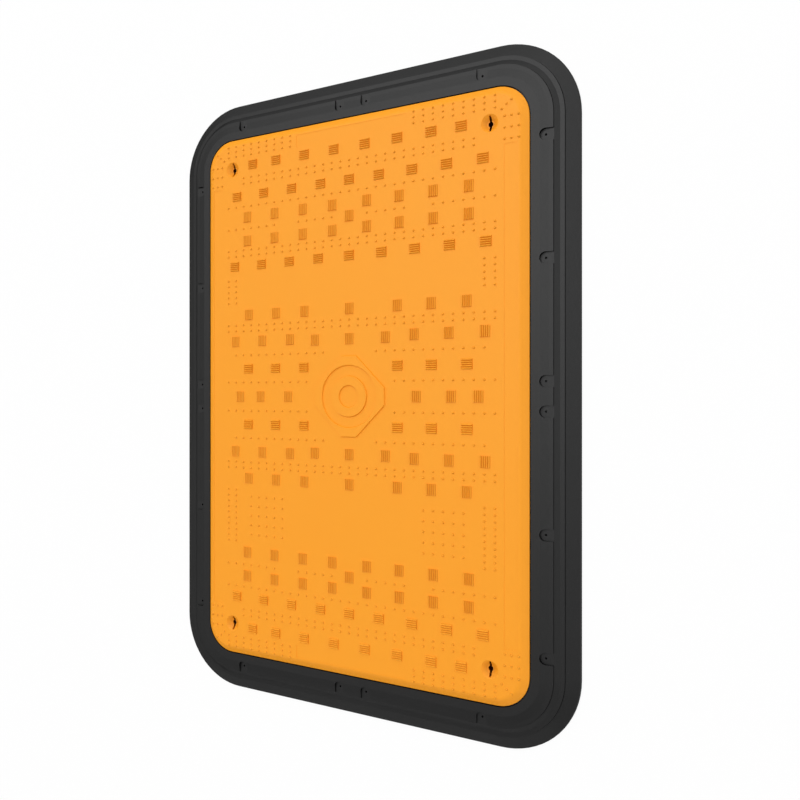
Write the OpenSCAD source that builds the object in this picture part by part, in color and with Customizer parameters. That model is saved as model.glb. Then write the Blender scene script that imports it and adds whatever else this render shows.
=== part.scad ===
// Trench cover for footways: a hollow moulded deck over steel bars, held in a
// ramped rubber rim. The walking face looks up, the long side runs along Y and
// the board lies on the ground at z = 0.

/* [Deck] */
// Length of the moulded deck
deck_l = 1043; // [940:1:1140]
// Width of the moulded deck
deck_w = 681; // [610:1:700]
// Height of the walking face above the ground
deck_h = 38; // [36:0.5:44]
// Radius of the deck's corners, seen from above
corner_r = 56.5; // [52:0.5:66]
// Width of the slope along the deck's top edge
edge_w = 14; // [11:0.5:16]
// Drop of that slope, from the walking face to the deck's side
edge_drop = 9.6; // [8:0.1:11]
// Rounding between the walking face and the slope
edge_r = 14; // [4:0.5:18]
// Thickness of the top skin
top_skin = 4; // [3:0.25:5]
// Thickness of the lower skin and of the trough walls
low_skin = 3.5; // [2.5:0.25:4.5]
// Thickness of the skirt that closes the deck all round
skirt = 4.5; // [3.5:0.25:6]

/* [Troughs and bars] */
// Distance from one bar to the next
bar_pitch = 56; // [50:0.5:60]
// Outside diameter of a bar
bar_d = 16; // [12:0.5:18]
// Wall of the steel tube
bar_wall = 1.5; // [1:0.1:3]
// Play between a bar and its trough
bar_play = 0.25; // [0.15:0.05:0.5]
// Space between a bar's end and the end skirt
bar_end_gap = 4; // [2:0.5:10]
// Radius of the fold where the lower skin is pressed against the top skin
kiss_r = 5; // [4:0.25:6]
// Fillet between a trough and the top skin
trough_fillet = 3; // [2:0.25:4]

/* [Tread blocks] */
// Length of a tread ridge
ridge_l = 20; // [14:0.5:22]
// Height of a tread ridge
ridge_h = 3.2; // [2:0.1:4]
// Width of a ridge at its crest
ridge_crest = 0.5; // [0.3:0.05:1.6]
// Distance from one ridge to the next
ridge_pitch = 3.75; // [3.4:0.05:4.2]
// Number of ridges in a block
ridge_n = 5; // [3:1:5]
// Distance from one block to the next in a row
block_pitch = 66.6; // [60:0.1:72]
// Least distance from a block to the side panel
block_clear = 2; // [1:0.5:6]

/* [Grip studs] */
// Radius of a stud where it meets the walking face
stud_r = 2.3; // [1.6:0.1:2.8]
// Radius of a stud's flat tip
stud_tip_r = 0.5; // [0.3:0.1:1]
// Height of a stud above the walking face
stud_h = 3; // [1.5:0.1:3.2]
// Distance from one stud to the next across the deck
stud_pitch = 18.95; // [17.5:0.05:19.5]
// Distance from one row of studs to the next beside the side panels
stud_row_pitch = 11.4; // [9:0.1:12]

/* [Centre boss] */
// Distance across the octagon's long flats, along either axis
boss_w = 152; // [140:1:160]
// Length of the octagon's four short sides
boss_tip = 33; // [24:1:44]
// Height of the boss above the deck
boss_h = 3; // [2:0.25:4]
// Radius of the round recess in the boss
ring_r = 58.5; // [52:0.5:62]
// Radius of the disc that stands in the recess
disc_r = 37.5; // [30:0.5:44]
// Radius of the recess in the disc
eye_r = 21; // [14:0.5:26]
// Lean of the boss's walls, measured at the foot
boss_draft = 1.5; // [0.5:0.25:2]

/* [Label panels] */
// Depth of the bare panels
panel_depth = 0.5; // [0.3:0.1:1.5]
// Length of the two end panels
end_panel_l = 236; // [180:1:240]
// Width of the two end panels
end_panel_w = 24; // [16:1:26]
// Distance from the deck's end to the end panel
end_panel_in = 17.5; // [16:0.5:20]
// Width of the two side panels
side_panel_w = 23; // [16:1:26]
// Distance from the deck's side to the side panel
side_panel_in = 17.5; // [16:0.5:20]
// Distance from the deck's end to the end of the side panels
side_panel_end = 100.5; // [92:0.5:112]

/* [Lifting sockets] */
// Distance from the deck's side to a lifting socket
socket_in_x = 66; // [60:0.5:70]
// Distance from the deck's end to a lifting socket
socket_in_y = 62; // [56:0.5:68]
// Radius of the dish round the keyhole
dish_r = 15.5; // [13:0.5:17]
// Depth of the dish
dish_depth = 7; // [4:0.25:8]
// Width of the dish's flat floor round the keyhole
dish_floor_w = 2; // [1:0.25:3]
// Radius of the round part of the keyhole
keyhole_r = 4.5; // [3.5:0.1:6]
// Width of the keyhole's slot
key_slot_w = 4; // [3:0.1:5]
// Length of the keyhole's slot from end to end
key_slot_l = 27; // [18:0.5:28]
// Thickness of the cup that carries the dish
cup_wall = 4; // [3:0.25:5]

/* [Rubber rim] */
// Width of the rim, from the deck's side to the outer edge
rim_w = 80; // [76:0.5:92]
// Height of the outer lip
lip_h = 7; // [5:0.25:9]
// Rounding of the outer lip
lip_r = 3; // [1.5:0.25:4]
// Height of the ramp where it meets the outer ledge
ramp_h = 15.2; // [13:0.1:16.5]
// Height of the outer ledge
ledge2_h = 17.7; // [17:0.1:19]
// Height of the lower slope where it meets the inner ledge
slope_h = 23; // [21:0.1:24]
// Height of the inner ledge
ledge1_h = 25.2; // [24.6:0.1:26]
// Drop from the walking face to the flat apron beside the deck
apron_drop = 9.6; // [8.5:0.1:10.5]
// Distance from the deck's side to the outer ledge's edge
step2_at = 56; // [54:0.5:60]
// Distance from the deck's side to the inner ledge's edge
step1_at = 39; // [37.5:0.5:41.5]
// Width of each flat ledge
ledge_w = 7.5; // [6:0.5:9]
// Rise of each ledge from its edge towards the deck
ledge_rise = 0.75; // [0.25:0.05:1]
// Lean of the upright face below each ledge
step_lean = 0.8; // [0.4:0.1:1.5]
// Width of the flat apron
apron_w = 17.5; // [12:0.5:20]
// Clearance between the rim and the deck
rim_play = 0.25; // [0.15:0.05:0.4]
// Width of the groove between the rim and the deck
seam = 2; // [1:0.25:3]
// Depth of that groove
seam_depth = 5; // [2:0.5:8]

/* [Flange and groove] */
// Reach of the flange that grips the rim
flange_w = 17; // [12:0.5:18]
// Thickness of the flange
flange_t = 5; // [4:0.25:6]
// Height of the flange's lower face above the ground
flange_z = 10; // [8:0.25:11]

/* [Fixing points] */
// Radius of the U-shaped pockets in the rim
pocket_r = 10; // [8:0.5:11]
// Distance from the deck's side to a pocket's centre
pocket_at = 26.5; // [26:0.25:28.5]
// Radius of the fixing holes
fixing_r = 2; // [1.5:0.1:4]
// Distance from the middle of a long side to its first pocket
side_pocket_first = 25; // [18:1:40]
// Distance from a corner's start to the last pocket on a long side
side_pocket_last = 35; // [20:1:60]
// Distance from the middle of a short side to its first pocket
end_pocket_first = 28; // [18:1:40]
// Distance from a corner's start to the last pocket on a short side
end_pocket_last = 27.5; // [20:0.5:60]

/* [Hidden] */
$fn = 64;
cut = 1;
skim = 0.01;
arc_step = 18;
stud_sides = 16;
stud_sink = 1.5;
half_l = deck_l / 2;
half_w = deck_w / 2;
edge_band = corner_r - cut;
edge_slope = atan2(edge_drop, edge_w);
edge_round = edge_r * tan(edge_slope / 2);

// The trough's centre line, and the walls that run from it to the fold
trough_r = bar_d / 2 + bar_play;
axis_z = low_skin + trough_r;
cavity_top = deck_h - top_skin;
fold_top = cavity_top - low_skin;
fold_x = bar_pitch / 2;
fold_rise = fold_top - kiss_r - axis_z;
fold_reach = trough_r + low_skin + kiss_r;
flare = acos(fold_reach / norm([fold_x, fold_rise])) - atan2(fold_rise, fold_x);
fillet_x = (trough_r - trough_fillet + sin(flare) * (cavity_top - trough_fillet - axis_z)) / cos(flare);
trough_half = fillet_x + trough_fillet + low_skin;
bars_each_side = floor((half_w - skirt - trough_half) / bar_pitch);
bar_count = 2 * bars_each_side + 1;

// The inner face of the skirt, and how long a bar may be between its ends
inner_r = corner_r - skirt;
bar_outer_x = bars_each_side * bar_pitch + bar_d / 2;
corner_x = half_w - corner_r;
corner_y = half_l - corner_r;
bar_reach = bar_outer_x > corner_x
    ? corner_y + sqrt(pow(inner_r, 2) - pow(bar_outer_x - corner_x, 2))
    : half_l - skirt;
bar_l = 2 * (bar_reach - bar_end_gap);

// Tread blocks: one line for each row of the upper half, as [height of the row,
// its blocks' distances from the centre line, whether the ridges run along X,
// whether the lower half has the same row]. The lower half's fifth row is left
// out, because a label stands there. The outer rows keep their place from the
// deck's end, and the middle ones keep theirs from the centre boss.
function run_of_blocks(first, count) = [for (i = [0:count - 1]) first + i * block_pitch];
row_1 = half_l - 57.9;
row_2 = half_l - 118.5;
row_3 = half_l - 162.2;
row_single = half_l - 186;
row_4 = half_l - 209.8;
row_5 = half_l - 259.4;
block_rows = [
    [row_1, concat(run_of_blocks(block_pitch / 2, 3), [223.1]), true, true],
    [row_2, concat([0], run_of_blocks(62.8, 4)), true, true],
    [row_3, run_of_blocks(37, 4), false, true],
    [row_single, [0], false, true],
    [row_4, run_of_blocks(37, 4), false, true],
    [row_5, concat([0], run_of_blocks(68.2, 4)), true, false],
    [163.4, concat([0], run_of_blocks(99.8, 3)), false, true],
    [110.5, run_of_blocks(133.3, 3), false, true],
    [107.5, [0, 75.9], false, true],
    [55.7, run_of_blocks(100.6, 3), true, true],
    [0, [137.7, 204.1, 254.3], false, false]
];
block_sink = 0.5;
block_pad = 0.3;
block_edge = side_panel_in + side_panel_w + ridge_l / 2 + block_clear;

// Grip studs: one line for each row of the upper half, as [height of the row,
// numbers of its studs counted from the centre line, whether the lower half has
// the same row]. Then the studs in the four corners, as [distance from the
// deck's side, distance from its end].
function run_of_studs(first, last) = [for (n = [first:last]) n];
stud_rows = concat(
    [for (in = [16.5, 26.5, 37]) [half_l - in, run_of_studs(7, 15), true]],
    [for (in = [82.5, 94]) [half_l - in, run_of_studs(0, 13), true]],
    [
        [half_l - 140, run_of_studs(0, 15), true],
        [half_l - 184.5, concat(run_of_studs(2, 6), run_of_studs(9, 15)), true],
        [half_l - 227.5, run_of_studs(0, 15), false],
        [half_l - 239, run_of_studs(0, 15), false],
        [143, run_of_studs(0, 15), true],
        [131.5, run_of_studs(0, 15), true],
        [83, run_of_studs(3, 14), true],
        [28.5, run_of_studs(5, 15), true]
    ],
    [for (i = [0:4]) [188 + i * stud_row_pitch, [14, 15], false]],
    [for (i = [0:9]) [-188 - i * stud_row_pitch, [14, 15], false]],
    [for (i = [0:4]) [-200 - i * stud_pitch, run_of_studs(8, 12), false]]
);
corner_studs = concat(
    [[44.5, 42], [36, 34.5], [27.5, 28.5]],
    [for (x = [15.5, 27.5, 39.5], y = [54.5, 73.5, 92.5]) [x, y]]
);
stud_foot_r = stud_r + (stud_r - stud_tip_r) / stud_h * stud_sink;

socket_x = half_w - socket_in_x;
socket_y = half_l - socket_in_y;
cup_r = dish_r + cup_wall / 2;
cup_floor = deck_h - dish_depth - cup_wall;
dish_floor_r = keyhole_r + dish_floor_w;
key_slot_half = key_slot_l / 2;

side_pockets = [
    side_pocket_first,
    (side_pocket_first + corner_y - side_pocket_last) / 2,
    corner_y - side_pocket_last
];
end_pockets = [end_pocket_first, corner_x - end_pocket_last];

deck_colour = "#FFA632";
rubber_colour = "#3B3C3D";
steel_colour = "#B9C0C6";

bar_names = [for (i = [1:bar_count]) str("bar_", i)];

// Points along an arc, from one angle to another
function arc(x, y, r, from, to) = let (steps = ceil(abs(to - from) / arc_step))
    [for (i = [0:steps]) let (a = from + (to - from) * i / steps) [x + r * cos(a), y + r * sin(a)]];

// The same points on the other side of x = 0, in reverse order
function mirrored(points) = [for (i = [len(points) - 1:-1:0]) [-points[i][0], points[i][1]]];

// Calls its children at the four places that mirror [x, y] in both axes
module four_ways(x, y) {
    for (sx = [-1, 1], sy = [-1, 1])
        translate([sx * x, sy * y, 0]) children();
}

// Carries a section round the deck's outline. The section's x is the distance
// outwards from the deck's side, and its y is the height above the ground.
module round_the_deck() {
    for (turn = [0, 1]) rotate([0, 0, 180 * turn]) {
        translate([half_w, corner_y, 0]) rotate([90, 0, 0]) linear_extrude(2 * corner_y) children();
        translate([corner_x, corner_y, 0]) rotate_extrude(angle = 90) translate([corner_r, 0]) children();
        rotate([0, 0, 90]) {
            translate([half_l, corner_x, 0]) rotate([90, 0, 0]) linear_extrude(2 * corner_x) children();
            translate([corner_y, corner_x, 0]) rotate_extrude(angle = 90) translate([corner_r, 0]) children();
        }
    }
}

// Section of the deck's outer band, with its sloped edge and its flange
module edge_section() {
    polygon([
        [-edge_band, 0],
        [0, 0],
        [0, deck_h - edge_drop],
        [-edge_w + edge_round * cos(edge_slope), deck_h - edge_round * sin(edge_slope)],
        [-edge_w - edge_round, deck_h],
        [-edge_band, deck_h]
    ]);
    translate([-edge_w - edge_round, deck_h - edge_r]) circle(edge_r);
    translate([-cut, flange_z]) square([flange_w + cut, flange_t]);
}

// Section of the hollow's outer band, one skirt's thickness inside the deck's
module inner_section() {
    slope_z = deck_h - edge_drop - skirt / cos(edge_slope);
    polygon([
        [-edge_band, -cut],
        [-skirt, -cut],
        [-skirt, slope_z + skirt * tan(edge_slope)],
        [-(cavity_top + cut - slope_z) / tan(edge_slope), cavity_top + cut],
        [-edge_band, cavity_top + cut]
    ]);
}

// Fills a section's outline round the deck, from one height to another
module filled(low, high) {
    round_the_deck() children();
    translate([0, 0, low]) linear_extrude(high - low) {
        square([deck_w - 2 * edge_band, deck_l - 2 * corner_r], center = true);
        square([deck_w - 2 * corner_r, deck_l - 2 * edge_band], center = true);
    }
}

// Section of the closed space in one trough, round the bar and up to the top skin
module trough_space() {
    half = concat(
        arc(0, axis_z, trough_r, -90, -flare),
        arc(fillet_x, cavity_top - trough_fillet, trough_fillet, -flare, 90)
    );
    polygon(concat(half, [for (p = mirrored(half)) if (p[0] < -skim) p]));
}

// Height by height, how far a trough's outer wall is from its bar's centre line
function wall_x(z) = (trough_r + low_skin + sin(flare) * (z - axis_z)) / cos(flare);

// Section of the fold between two troughs, open below
module fold_space() {
    polygon(concat(
        [[fold_x - wall_x(-cut), -cut]],
        arc(0, fold_top - kiss_r, kiss_r, flare, 180 - flare),
        [[wall_x(-cut) - fold_x, -cut]]
    ));
}

// Section of the wider fold between the last trough and the side skirt
module side_fold_space() {
    polygon(concat(
        [[half_w, -cut], [half_w, fold_top]],
        arc(bars_each_side * bar_pitch + fold_x, fold_top - kiss_r, kiss_r, 90, 180 - flare),
        [[bars_each_side * bar_pitch + wall_x(-cut), -cut]]
    ));
}

// Stretches a section along the whole deck
module along_deck() {
    translate([0, half_l, 0]) rotate([90, 0, 0]) linear_extrude(deck_l) children();
}

// Everything hollow in the deck: closed troughs from one end to the other,
// and the open folds between them, all inside the skirt
module hollows() {
    intersection() {
        filled(-cut, cavity_top + cut) inner_section();
        union() {
            for (i = [-bars_each_side:bars_each_side])
                translate([i * bar_pitch, 0, 0]) along_deck() trough_space();
            for (i = [-bars_each_side:bars_each_side - 1])
                translate([i * bar_pitch + fold_x, 0, 0]) along_deck() fold_space();
            along_deck() side_fold_space();
            mirror([1, 0, 0]) along_deck() side_fold_space();
        }
    }
}

// Cup that hangs from the top skin and carries a lifting socket
module socket_cup() {
    translate([0, 0, cup_floor]) cylinder(h = cavity_top - cup_floor + cut, r = cup_r);
}

// Dish and keyhole of a lifting socket
module socket_cut() {
    translate([0, 0, deck_h - dish_depth])
        cylinder(h = dish_depth + skim, r1 = dish_floor_r, r2 = dish_r);
    translate([0, 0, cup_floor - cut]) {
        cylinder(h = deck_h, r = keyhole_r);
        translate([-key_slot_w / 2, -key_slot_half, 0]) cube([key_slot_w, key_slot_l, deck_h]);
    }
}

// Shallow bare panels at the deck's ends and sides
module panels() {
    translate([0, 0, deck_h - panel_depth]) linear_extrude(deck_h) for (s = [-1, 1]) {
        translate([0, s * (half_l - end_panel_in - end_panel_w / 2)])
            square([end_panel_l, end_panel_w], center = true);
        translate([s * (half_w - side_panel_in - side_panel_w / 2), 0])
            square([side_panel_w, deck_l - 2 * side_panel_end], center = true);
    }
}

// Section of one tread block, across its ridges
module ridge_section() {
    half = ridge_n / 2 * ridge_pitch;
    polygon(concat(
        [[-half, -block_sink]],
        [for (i = [0:ridge_n - 1]) let (x = (i + 0.5) * ridge_pitch - half) each [
            [x - ridge_pitch / 2, block_pad],
            [x - ridge_crest / 2, ridge_h],
            [x + ridge_crest / 2, ridge_h]
        ]],
        [[half, block_pad], [half, -block_sink]]
    ));
}

// One tread block: a small pad with a row of parallel ridges
module block(along_x) {
    translate([0, 0, deck_h]) rotate([0, 0, along_x ? 90 : 0])
        translate([0, ridge_l / 2, 0]) rotate([90, 0, 0]) linear_extrude(ridge_l) ridge_section();
}

// All the tread blocks that lie clear of the side panels
module blocks() {
    for (row = block_rows, half = row[3] ? [1, -1] : [1], x = row[1], side = x == 0 ? [1] : [1, -1])
        if (x < half_w - block_edge)
            translate([side * x, half * row[0], 0]) block(row[2]);
}

// One grip stud, a small blunt cone
module stud() {
    translate([0, 0, deck_h - stud_sink])
        cylinder(h = stud_h + stud_sink, r1 = stud_foot_r, r2 = stud_tip_r, $fn = stud_sides);
}

// Whether a place on the walking face lies inside the sloped edge, corners included
function on_face(x, y) = norm([max(0, x - corner_x), max(0, abs(y) - corner_y)]) <= corner_r - edge_w;

// All the grip studs that lie inside the sloped edge
module studs() {
    for (row = stud_rows, half = row[2] ? [1, -1] : [1], n = row[1], side = n == 0 ? [1] : [1, -1])
        if (on_face(n * stud_pitch, row[0]))
            translate([side * n * stud_pitch, half * row[0], 0]) stud();
    for (c = corner_studs) four_ways(half_w - c[0], half_l - c[1]) stud();
}

// Outline of the centre boss, drawn in by some distance
module octagon(inset) {
    flat = boss_w / 2 - inset;
    tip = boss_tip / 2 - inset * tan(22.5);
    polygon([
        [flat, -tip], [flat, tip], [tip, flat], [-tip, flat],
        [-flat, tip], [-flat, -tip], [-tip, -flat], [tip, -flat]
    ]);
}

// Raised octagon with a round recess, a disc in it and an eye in the disc
module centre_boss() {
    translate([0, 0, deck_h]) {
        difference() {
            hull() {
                translate([0, 0, -block_sink]) linear_extrude(block_sink) octagon(0);
                linear_extrude(boss_h) octagon(boss_draft);
            }
            cylinder(h = boss_h + skim, r1 = ring_r - boss_draft, r2 = ring_r);
        }
        difference() {
            translate([0, 0, -block_sink])
                cylinder(h = boss_h + block_sink, r1 = disc_r + boss_draft, r2 = disc_r);
            cylinder(h = boss_h + skim, r1 = eye_r - boss_draft, r2 = eye_r);
        }
    }
}

// The moulded deck, one piece
module deck() {
    color(deck_colour) {
        difference() {
            union() {
                difference() {
                    filled(0, deck_h) edge_section();
                    hollows();
                    panels();
                }
                four_ways(socket_x, socket_y) socket_cup();
            }
            four_ways(socket_x, socket_y) socket_cut();
        }
        blocks();
        studs();
        centre_boss();
    }
}

// Section of the rubber rim, from the deck's side out to the lip
module rim_section() {
    apron_h = deck_h - apron_drop;
    lip_turn = 60;
    difference() {
        polygon(concat(
            [[rim_play, 0], [rim_w, 0]],
            arc(rim_w - lip_r, lip_h - lip_r, lip_r, 0, lip_turn),
            [
                [step2_at + step_lean, ramp_h],
                [step2_at, ledge2_h],
                [step2_at - ledge_w, ledge2_h + ledge_rise],
                [step1_at + step_lean, slope_h],
                [step1_at, ledge1_h],
                [step1_at - ledge_w, ledge1_h + ledge_rise],
                [apron_w, apron_h],
                [rim_play + seam, apron_h],
                [rim_play + seam, apron_h - seam_depth],
                [rim_play, apron_h - seam_depth]
            ]
        ));
        translate([-cut, flange_z - rim_play])
            square([flange_w + rim_play + cut, flange_t + 2 * rim_play]);
    }
}

// One U-shaped pocket, open outwards over the step, with its fixing hole
module pocket() {
    translate([0, 0, slope_h]) {
        cylinder(h = deck_h, r = pocket_r);
        translate([0, -pocket_r, 0]) cube([step1_at + cut - pocket_at, 2 * pocket_r, deck_h]);
    }
    translate([0, 0, -cut]) cylinder(h = deck_h, r = fixing_r);
}

// The rubber rim, one piece
module rim() {
    color(rubber_colour) difference() {
        round_the_deck() rim_section();
        for (turn = [0, 180], s = [-1, 1]) rotate([0, 0, turn]) {
            for (y = side_pockets)
                translate([half_w + pocket_at, s * y, 0]) pocket();
            for (x = end_pockets)
                translate([s * x, half_l + pocket_at, 0]) rotate([0, 0, 90]) pocket();
        }
    }
}

// One galvanised steel tube in its trough, counted from the left
module bar(i) {
    x = (i - 1 - bars_each_side) * bar_pitch;
    color(steel_colour) translate([x, bar_l / 2, axis_z]) rotate([90, 0, 0]) difference() {
        cylinder(h = bar_l, d = bar_d);
        translate([0, 0, -cut]) cylinder(h = bar_l + 2 * cut, d = bar_d - 2 * bar_wall);
    }
}

deck();
rim();
for (i = [1:bar_count]) bar(i);
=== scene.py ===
# Trench cover for footways, seen from above at a slant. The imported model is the
# frame: its pieces keep their place and size, and each section below gives one
# of them its material. Lengths are in metres.
import math

import bpy
import numpy as np
from mathutils import Matrix, Vector

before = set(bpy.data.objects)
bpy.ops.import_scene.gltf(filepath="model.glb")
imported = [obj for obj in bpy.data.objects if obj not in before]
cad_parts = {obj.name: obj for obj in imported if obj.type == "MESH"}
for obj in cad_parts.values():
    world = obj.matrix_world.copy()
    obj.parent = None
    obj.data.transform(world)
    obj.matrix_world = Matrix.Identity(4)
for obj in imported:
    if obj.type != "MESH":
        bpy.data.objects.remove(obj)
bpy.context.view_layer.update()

# Camera. The picture looks down on the board from beyond its right side, so
# that the long sides stay upright in the frame and the left side recedes.
camera_place = Vector((0.680, 0.0, 1.1755))
camera_tilt = math.radians(26.78)
camera_focal_pixels = 712.7
frame_pixels = 800
camera_rise_pixels = 3.6


def camera_matrix(place, tilt):
    """Axes of a camera that looks along (-sin t, 0, -cos t) with +Y up in its frame."""
    back = Vector((math.sin(tilt), 0.0, math.cos(tilt)))
    up = Vector((0.0, 1.0, 0.0))
    right = up.cross(back)
    turn = Matrix((right, up, back)).transposed()
    return Matrix.Translation(place) @ turn.to_4x4()


camera_data = bpy.data.cameras.new("camera")
camera_data.sensor_width = 36.0
camera_data.lens = camera_data.sensor_width * camera_focal_pixels / frame_pixels
camera_data.shift_y = -camera_rise_pixels / frame_pixels
camera_data.clip_end = 60.0
camera = bpy.data.objects.new("camera", camera_data)
bpy.context.scene.collection.objects.link(camera)
camera.matrix_world = camera_matrix(camera_place, camera_tilt)
bpy.context.scene.camera = camera

# Studio. A pale floor runs up into a round backdrop. A large soft lamp hangs
# over the board's upper end, a weaker one stands at its right, and a dim sky,
# brighter towards the upper end, fills the shadows.
bpy.context.scene.view_settings.view_transform = "Standard"


def ring_faces(rings, turns):
    """Quads between neighbouring points of closed rings, whose last point is joined to the first."""
    ring, turn = np.meshgrid(np.arange(rings - 1), np.arange(turns), indexing="ij")
    here, beyond = ring * turns, (ring + 1) * turns
    following = (turn + 1) % turns
    quads = [here + turn, here + following, beyond + following, beyond + turn]
    return np.stack(quads, axis=-1).reshape(-1, 4)


def ring_surface(name, points):
    """Object whose mesh is a stack of closed rings of points, joined by quads."""
    rings, turns = points.shape[:2]
    mesh = bpy.data.meshes.new(name)
    mesh.from_pydata(points.reshape(-1, 3), [], ring_faces(rings, turns))
    mesh.shade_smooth()
    piece = bpy.data.objects.new(name, mesh)
    bpy.context.scene.collection.objects.link(piece)
    return piece


def floor_points(flat_radius, sweep_radius, turns):
    """Profile carried round Z: a flat disc, then an arc that rises to the backdrop's rim.

    At an arc angle a the radius is flat + sweep * sin(a), and the height is sweep * (1 - cos(a)).
    """
    inner_radii = (0.0, 1.0, 3.0)
    sweep_degrees, sweep_rings = 80.0, 24
    angle = np.radians(np.linspace(0.0, sweep_degrees, sweep_rings))
    radius = np.concatenate([inner_radii, flat_radius + sweep_radius * np.sin(angle)])
    height = np.concatenate([np.zeros(len(inner_radii)), sweep_radius * (1.0 - np.cos(angle))])
    turn = np.linspace(0.0, 2.0 * math.pi, turns, endpoint=False)
    x = radius[:, None] * np.cos(turn)
    y = radius[:, None] * np.sin(turn)
    z = np.repeat(height[:, None], turns, axis=1)
    return np.stack([x, y, z], axis=-1)


def new_material(name):
    """Empty material and its node tree."""
    material = bpy.data.materials.new(name)
    material.use_nodes = True
    tree = material.node_tree
    tree.nodes.clear()
    return material, tree


def floor_paper(lit, plain_share):
    """Matt white paper, which the camera and reflections see as plain white by the given share."""
    material, tree = new_material("studio_paper")
    output = tree.nodes.new("ShaderNodeOutputMaterial")
    mix = tree.nodes.new("ShaderNodeMixShader")
    paper = tree.nodes.new("ShaderNodeBsdfDiffuse")
    plain = tree.nodes.new("ShaderNodeEmission")
    path = tree.nodes.new("ShaderNodeLightPath")
    paper.inputs["Color"].default_value = (lit, lit, lit, 1.0)
    plain.inputs["Strength"].default_value = 1.0
    link = tree.links.new
    seen = path.outputs["Is Camera Ray"]
    for ray in ("Is Glossy Ray", "Is Transmission Ray"):
        either = tree.nodes.new("ShaderNodeMath")
        either.operation = "MAXIMUM"
        link(seen, either.inputs[0])
        link(path.outputs[ray], either.inputs[1])
        seen = either.outputs[0]
    share = tree.nodes.new("ShaderNodeMath")
    share.operation = "MULTIPLY"
    share.inputs[1].default_value = plain_share
    link(seen, share.inputs[0])
    link(share.outputs[0], mix.inputs["Fac"])
    link(paper.outputs[0], mix.inputs[1])
    link(plain.outputs[0], mix.inputs[2])
    link(mix.outputs[0], output.inputs["Surface"])
    return material


floor = ring_surface("studio_floor", floor_points(flat_radius=9.0, sweep_radius=6.9, turns=96))
floor.data.materials.append(floor_paper(lit=0.9, plain_share=0.92))


def studio_sky(low, high):
    """White sky whose strength runs evenly from low straight at -Y to high straight at +Y."""
    world = bpy.data.worlds.new("studio_sky")
    world.use_nodes = True
    tree = world.node_tree
    background = tree.nodes["Background"]
    background.inputs["Color"].default_value = (1.0, 1.0, 1.0, 1.0)
    way = tree.nodes.new("ShaderNodeTexCoord")
    split = tree.nodes.new("ShaderNodeSeparateXYZ")
    strength = tree.nodes.new("ShaderNodeMapRange")
    strength.inputs["From Min"].default_value = -1.0
    strength.inputs["To Min"].default_value = low
    strength.inputs["To Max"].default_value = high
    tree.links.new(way.outputs["Generated"], split.inputs[0])
    tree.links.new(split.outputs["Y"], strength.inputs["Value"])
    tree.links.new(strength.outputs["Result"], background.inputs["Strength"])
    return world


bpy.context.scene.world = studio_sky(low=0.24, high=0.78)


def soft_lamp(name, direction, distance, side, level):
    """Square lamp whose power, level * pi^2 * distance^2, gives a face turned to it that level."""
    data = bpy.data.lights.new(name, "AREA")
    data.shape = "SQUARE"
    data.size = side
    data.energy = level * math.pi**2 * distance**2
    lamp = bpy.data.objects.new(name, data)
    bpy.context.scene.collection.objects.link(lamp)
    towards = Vector(direction).normalized()
    facing = towards.to_track_quat("Z", "Y").to_matrix().to_4x4()
    lamp.matrix_world = Matrix.Translation(towards * distance) @ facing


soft_lamp("key_lamp", direction=(-0.12, 0.36, 0.92), distance=16.0, side=14.0, level=0.6)
soft_lamp("side_lamp", direction=(0.75, 0.1, 0.66), distance=16.0, side=12.0, level=0.11)

# Deck. One hollow moulding in orange plastic, coloured right through. Its face
# is lightly grained, blocks of ridges and a boss stand on it, and four keyhole
# sockets for a lifting key sink into dishes at its corners.


def linear(red, green, blue):
    """Linear colour of an 8 bit screen colour, by the sRGB curve."""
    c = np.array([red, green, blue]) / 255.0
    low, high = c / 12.92, ((c + 0.055) / 1.055) ** 2.4
    return tuple(float(v) for v in np.where(c <= 0.04045, low, high)) + (1.0,)


deck_orange = linear(246, 159, 37)
deck_deep = linear(247, 157, 35)
# Painted light and shade: the tread teeth are painted lighter at their crests and darker at their feet, in
# place of the light and shade on their slopes.
tooth_crest_painted_light = linear(247, 171, 49)
tooth_foot_painted_shade = linear(225, 143, 36)
# Painted shade: a dark red that fills the socket dishes and their keyholes, deeper down, where shade falls.
socket_painted_shade = linear(84, 28, 6)


def new_group(name, inputs, outputs):
    """Shader node group with named sockets, given as name: kind, and its two end nodes."""
    group = bpy.data.node_groups.new(name, "ShaderNodeTree")
    for socket, kind in inputs.items():
        group.interface.new_socket(socket, in_out="INPUT", socket_type="NodeSocket" + kind)
    for socket, kind in outputs.items():
        group.interface.new_socket(socket, in_out="OUTPUT", socket_type="NodeSocket" + kind)
    start = group.nodes.new("NodeGroupInput")
    end = group.nodes.new("NodeGroupOutput")
    return group, start, end


def moulded_grain_group():
    """Speckle is a fine noise, Height is Speckle * Depth, and Tone is a slow noise, both from 0 to 1."""
    group, start, end = new_group(
        "moulded_grain",
        {"Vector": "Vector", "Grain Scale": "Float", "Depth": "Float"},
        {"Height": "Float", "Tone": "Float", "Speckle": "Float"},
    )
    fine = group.nodes.new("ShaderNodeTexNoise")
    fine.inputs["Detail"].default_value = 3.0
    slow = group.nodes.new("ShaderNodeTexNoise")
    slow.inputs["Scale"].default_value = 9.0
    slow.inputs["Detail"].default_value = 2.0
    grain = group.nodes.new("ShaderNodeMath")
    grain.operation = "MULTIPLY"
    link = group.links.new
    link(start.outputs["Vector"], fine.inputs["Vector"])
    link(start.outputs["Grain Scale"], fine.inputs["Scale"])
    link(start.outputs["Vector"], slow.inputs["Vector"])
    link(fine.outputs["Fac"], grain.inputs[0])
    link(start.outputs["Depth"], grain.inputs[1])
    link(grain.outputs[0], end.inputs["Height"])
    link(slow.outputs["Fac"], end.inputs["Tone"])
    link(fine.outputs["Fac"], end.inputs["Speckle"])
    return group


moulded_grain = moulded_grain_group()


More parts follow.
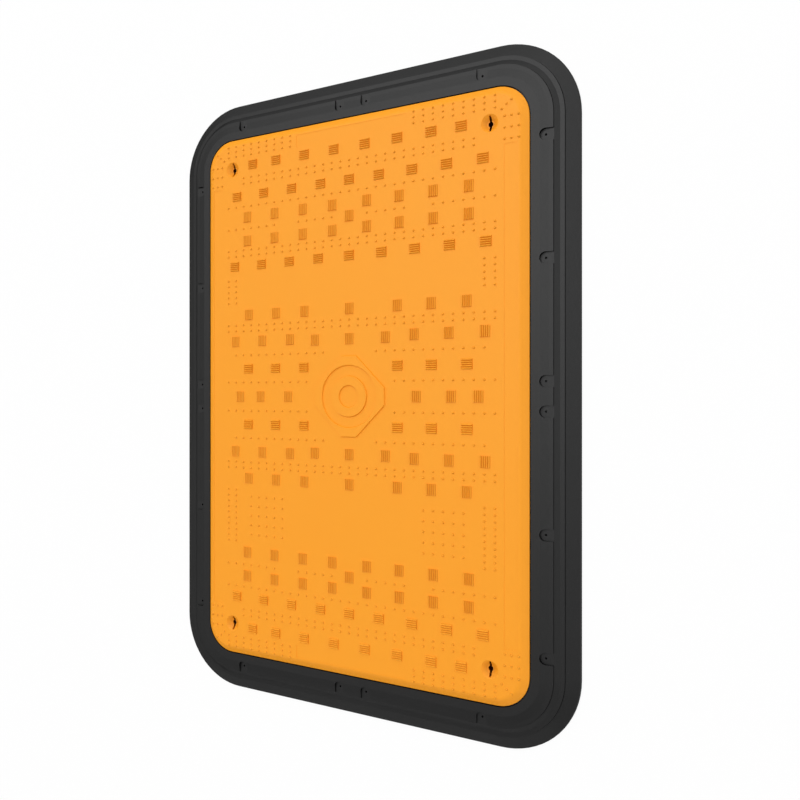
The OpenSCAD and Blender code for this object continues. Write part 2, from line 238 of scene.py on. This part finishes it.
def moulded_material(name, light, dark, roughness, grain_scale, depth, sheen_level):
    """Plastic or rubber from a mould, with its bump from its grain.

    The colour runs between two tones with the slow noise, and the roughness swings by its spread with
    the speckle. The sheen falls evenly to an eighth while the face turns away from the eye.
    """
    roughness_spread = 0.05
    sheen_falls_from, sheen_falls_to = 0.25, 0.6
    material, tree = new_material(name)
    output = tree.nodes.new("ShaderNodeOutputMaterial")
    shader = tree.nodes.new("ShaderNodeBsdfPrincipled")
    place = tree.nodes.new("ShaderNodeTexCoord")
    grain = tree.nodes.new("ShaderNodeGroup")
    grain.node_tree = moulded_grain
    grain.inputs["Grain Scale"].default_value = grain_scale
    grain.inputs["Depth"].default_value = depth
    tone = tree.nodes.new("ShaderNodeMix")
    tone.data_type = "RGBA"
    tone.inputs["A"].default_value = dark
    tone.inputs["B"].default_value = light
    rough = tree.nodes.new("ShaderNodeMapRange")
    rough.inputs["To Min"].default_value = roughness - roughness_spread
    rough.inputs["To Max"].default_value = roughness + roughness_spread
    bump = tree.nodes.new("ShaderNodeBump")
    bump.inputs["Distance"].default_value = 0.001
    turn = tree.nodes.new("ShaderNodeLayerWeight")
    sheen = tree.nodes.new("ShaderNodeMapRange")
    sheen.inputs["From Min"].default_value = sheen_falls_from
    sheen.inputs["From Max"].default_value = sheen_falls_to
    sheen.inputs["To Min"].default_value = sheen_level
    sheen.inputs["To Max"].default_value = sheen_level / 8.0
    link = tree.links.new
    link(turn.outputs["Facing"], sheen.inputs["Value"])
    link(sheen.outputs["Result"], shader.inputs["Specular IOR Level"])
    link(place.outputs["Object"], grain.inputs["Vector"])
    link(grain.outputs["Tone"], tone.inputs["Factor"])
    link(grain.outputs["Speckle"], rough.inputs["Value"])
    link(grain.outputs["Height"], bump.inputs["Height"])
    link(tone.outputs["Result"], shader.inputs["Base Color"])
    link(rough.outputs["Result"], shader.inputs["Roughness"])
    link(bump.outputs["Normal"], shader.inputs["Normal"])
    link(shader.outputs[0], output.inputs["Surface"])
    return material


def relief_masks_group(face, pad, crest, boss_reach, socket_x, socket_y, dish_radius, dish_floor):
    """Masks of the deck's relief, from the place on it, that say where light and shade are painted.

    Raised is 1 where the height is above the face, but 0 on the boss. Crest runs from 0 at a tooth's
    foot to 1 at its tip. Well grows with the depth to a dish's share, and to 1 in the keyhole below it.
    """
    boss_blur, dish_blur = 0.0005, 0.0003
    dish_share, keyhole_fade = 0.2, 0.002
    group, start, end = new_group(
        "painted_relief_masks", {"Vector": "Vector"}, {"Raised": "Float", "Crest": "Float", "Well": "Float"}
    )
    link = group.links.new

    def maths(operation, first, second):
        """One Math node on two values, each a socket or a number."""
        node = group.nodes.new("ShaderNodeMath")
        node.operation = operation
        for socket, value in zip(node.inputs, (first, second)):
            if isinstance(value, float):
                socket.default_value = value
            else:
                link(value, socket)
        return node.outputs[0]

    def ramp(value, low, high, top=1.0):
        """A value's way from low to high, as a share from 0 to top."""
        node = group.nodes.new("ShaderNodeMapRange")
        node.inputs["From Min"].default_value = low
        node.inputs["From Max"].default_value = high
        node.inputs["To Max"].default_value = top
        link(value, node.inputs["Value"])
        return node.outputs["Result"]

    split = group.nodes.new("ShaderNodeSeparateXYZ")
    link(start.outputs["Vector"], split.inputs[0])
    height = split.outputs["Z"]
    reach = group.nodes.new("ShaderNodeVectorMath")
    reach.operation = "LENGTH"
    link(start.outputs["Vector"], reach.inputs[0])
    outside = ramp(reach.outputs["Value"], boss_reach - boss_blur, boss_reach + boss_blur)
    link(maths("MULTIPLY", ramp(height, face, pad), outside), end.inputs["Raised"])
    link(ramp(height, pad, crest), end.inputs["Crest"])
    aside = maths("SUBTRACT", maths("ABSOLUTE", split.outputs["X"], 0.0), socket_x)
    along = maths("SUBTRACT", maths("ABSOLUTE", split.outputs["Y"], 0.0), socket_y)
    squares = maths("ADD", maths("MULTIPLY", aside, aside), maths("MULTIPLY", along, along))
    away = maths("SQRT", squares, 0.0)
    inside = ramp(away, dish_radius + dish_blur, dish_radius - dish_blur)
    dish = ramp(height, face, dish_floor, dish_share)
    keyhole = ramp(height, dish_floor, dish_floor - keyhole_fade)
    link(maths("MULTIPLY", inside, maths("MAXIMUM", dish, keyhole)), end.inputs["Well"])
    return group


def paint_relief_light_and_shade(material, group, foot, crest, well):
    """Paints light and shade by the masks: raised parts run from painted shade at the foot to painted light
    at the crest, and sockets to the well's painted shade.

    Each blend is first * (1 - mask) + second * mask.
    """
    tree = material.node_tree
    link = tree.links.new
    shader = next(node for node in tree.nodes if node.type == "BSDF_PRINCIPLED")
    place = next(node for node in tree.nodes if node.type == "TEX_COORD")
    masks = tree.nodes.new("ShaderNodeGroup")
    masks.node_tree = group
    link(place.outputs["Object"], masks.inputs["Vector"])

    def blend(factor, first, second):
        """Mix of two colours, each a socket or a constant, by a mask."""
        node = tree.nodes.new("ShaderNodeMix")
        node.data_type = "RGBA"
        link(factor, node.inputs["Factor"])
        for name, value in (("A", first), ("B", second)):
            if isinstance(value, tuple):
                node.inputs[name].default_value = value
            else:
                link(value, node.inputs[name])
        return node.outputs["Result"]

    flat = shader.inputs["Base Color"].links[0].from_socket
    teeth = blend(masks.outputs["Crest"], foot, crest)
    face = blend(masks.outputs["Raised"], flat, teeth)
    link(blend(masks.outputs["Well"], face, well), shader.inputs["Base Color"])


def dress(node, material):
    """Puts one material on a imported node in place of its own."""
    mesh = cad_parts[node].data
    mesh.materials.clear()
    mesh.materials.append(material)


deck_plastic = moulded_material(
    "orange_moulded_plastic",
    light=deck_orange,
    dark=deck_deep,
    roughness=0.5,
    grain_scale=900.0,
    depth=0.1,
    sheen_level=0.25,
)
painted_relief_masks = relief_masks_group(
    face=0.03805,
    pad=0.0382,
    crest=0.0412,
    boss_reach=0.098,
    socket_x=0.2745,
    socket_y=0.4595,
    dish_radius=0.0155,
    dish_floor=0.031,
)
# Paints shade and light on the deck: teeth darker at the foot and lighter at the crest, sockets dark in
# their dishes and keyholes.
paint_relief_light_and_shade(deck_plastic, painted_relief_masks, foot=tooth_foot_painted_shade, crest=tooth_crest_painted_light, well=socket_painted_shade)
dress("deck", deck_plastic)

# Rim. One black rubber moulding all round the deck, with two ledges, a ramp
# and U-shaped pockets for the fixings. It is dull, and grips the deck's flange.
rubber = moulded_material(
    "black_moulded_rubber",
    light=linear(14, 14, 14),
    dark=linear(11, 11, 11),
    roughness=0.5,
    grain_scale=700.0,
    depth=0.15,
    sheen_level=0.46,
)
dress("rim", rubber)

# Bars. Galvanised steel tubes that lie in the deck's troughs, out of sight.
# The zinc has crystals a few millimetres wide, drawn out along the tube.
crystals_per_metre = 260.0
crystal_stretch = (1.0, 0.4, 1.0)
zinc_roughness = (0.28, 0.45)


def zinc_material(name, light, dark):
    """Zinc coat: each cell of a pattern drawn out along Y is a crystal with its own tone and gloss."""
    material, tree = new_material(name)
    output = tree.nodes.new("ShaderNodeOutputMaterial")
    shader = tree.nodes.new("ShaderNodeBsdfPrincipled")
    place = tree.nodes.new("ShaderNodeTexCoord")
    stretch = tree.nodes.new("ShaderNodeMapping")
    stretch.inputs["Scale"].default_value = crystal_stretch
    crystals = tree.nodes.new("ShaderNodeTexVoronoi")
    crystals.inputs["Scale"].default_value = crystals_per_metre
    tone = tree.nodes.new("ShaderNodeMix")
    tone.data_type = "RGBA"
    tone.inputs["A"].default_value = dark
    tone.inputs["B"].default_value = light
    rough = tree.nodes.new("ShaderNodeMapRange")
    rough.inputs["To Min"].default_value = zinc_roughness[0]
    rough.inputs["To Max"].default_value = zinc_roughness[1]
    shader.inputs["Metallic"].default_value = 1.0
    link = tree.links.new
    link(place.outputs["Object"], stretch.inputs["Vector"])
    link(stretch.outputs["Vector"], crystals.inputs["Vector"])
    link(crystals.outputs["Color"], tone.inputs["Factor"])
    link(crystals.outputs["Color"], rough.inputs["Value"])
    link(tone.outputs["Result"], shader.inputs["Base Color"])
    link(rough.outputs["Result"], shader.inputs["Roughness"])
    link(shader.outputs[0], output.inputs["Surface"])
    return material


zinc = zinc_material("galvanised_zinc", light=linear(214, 221, 228), dark=linear(178, 186, 194))
for bar in sorted(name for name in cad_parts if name.startswith("bar_")):
    dress(bar, zinc)
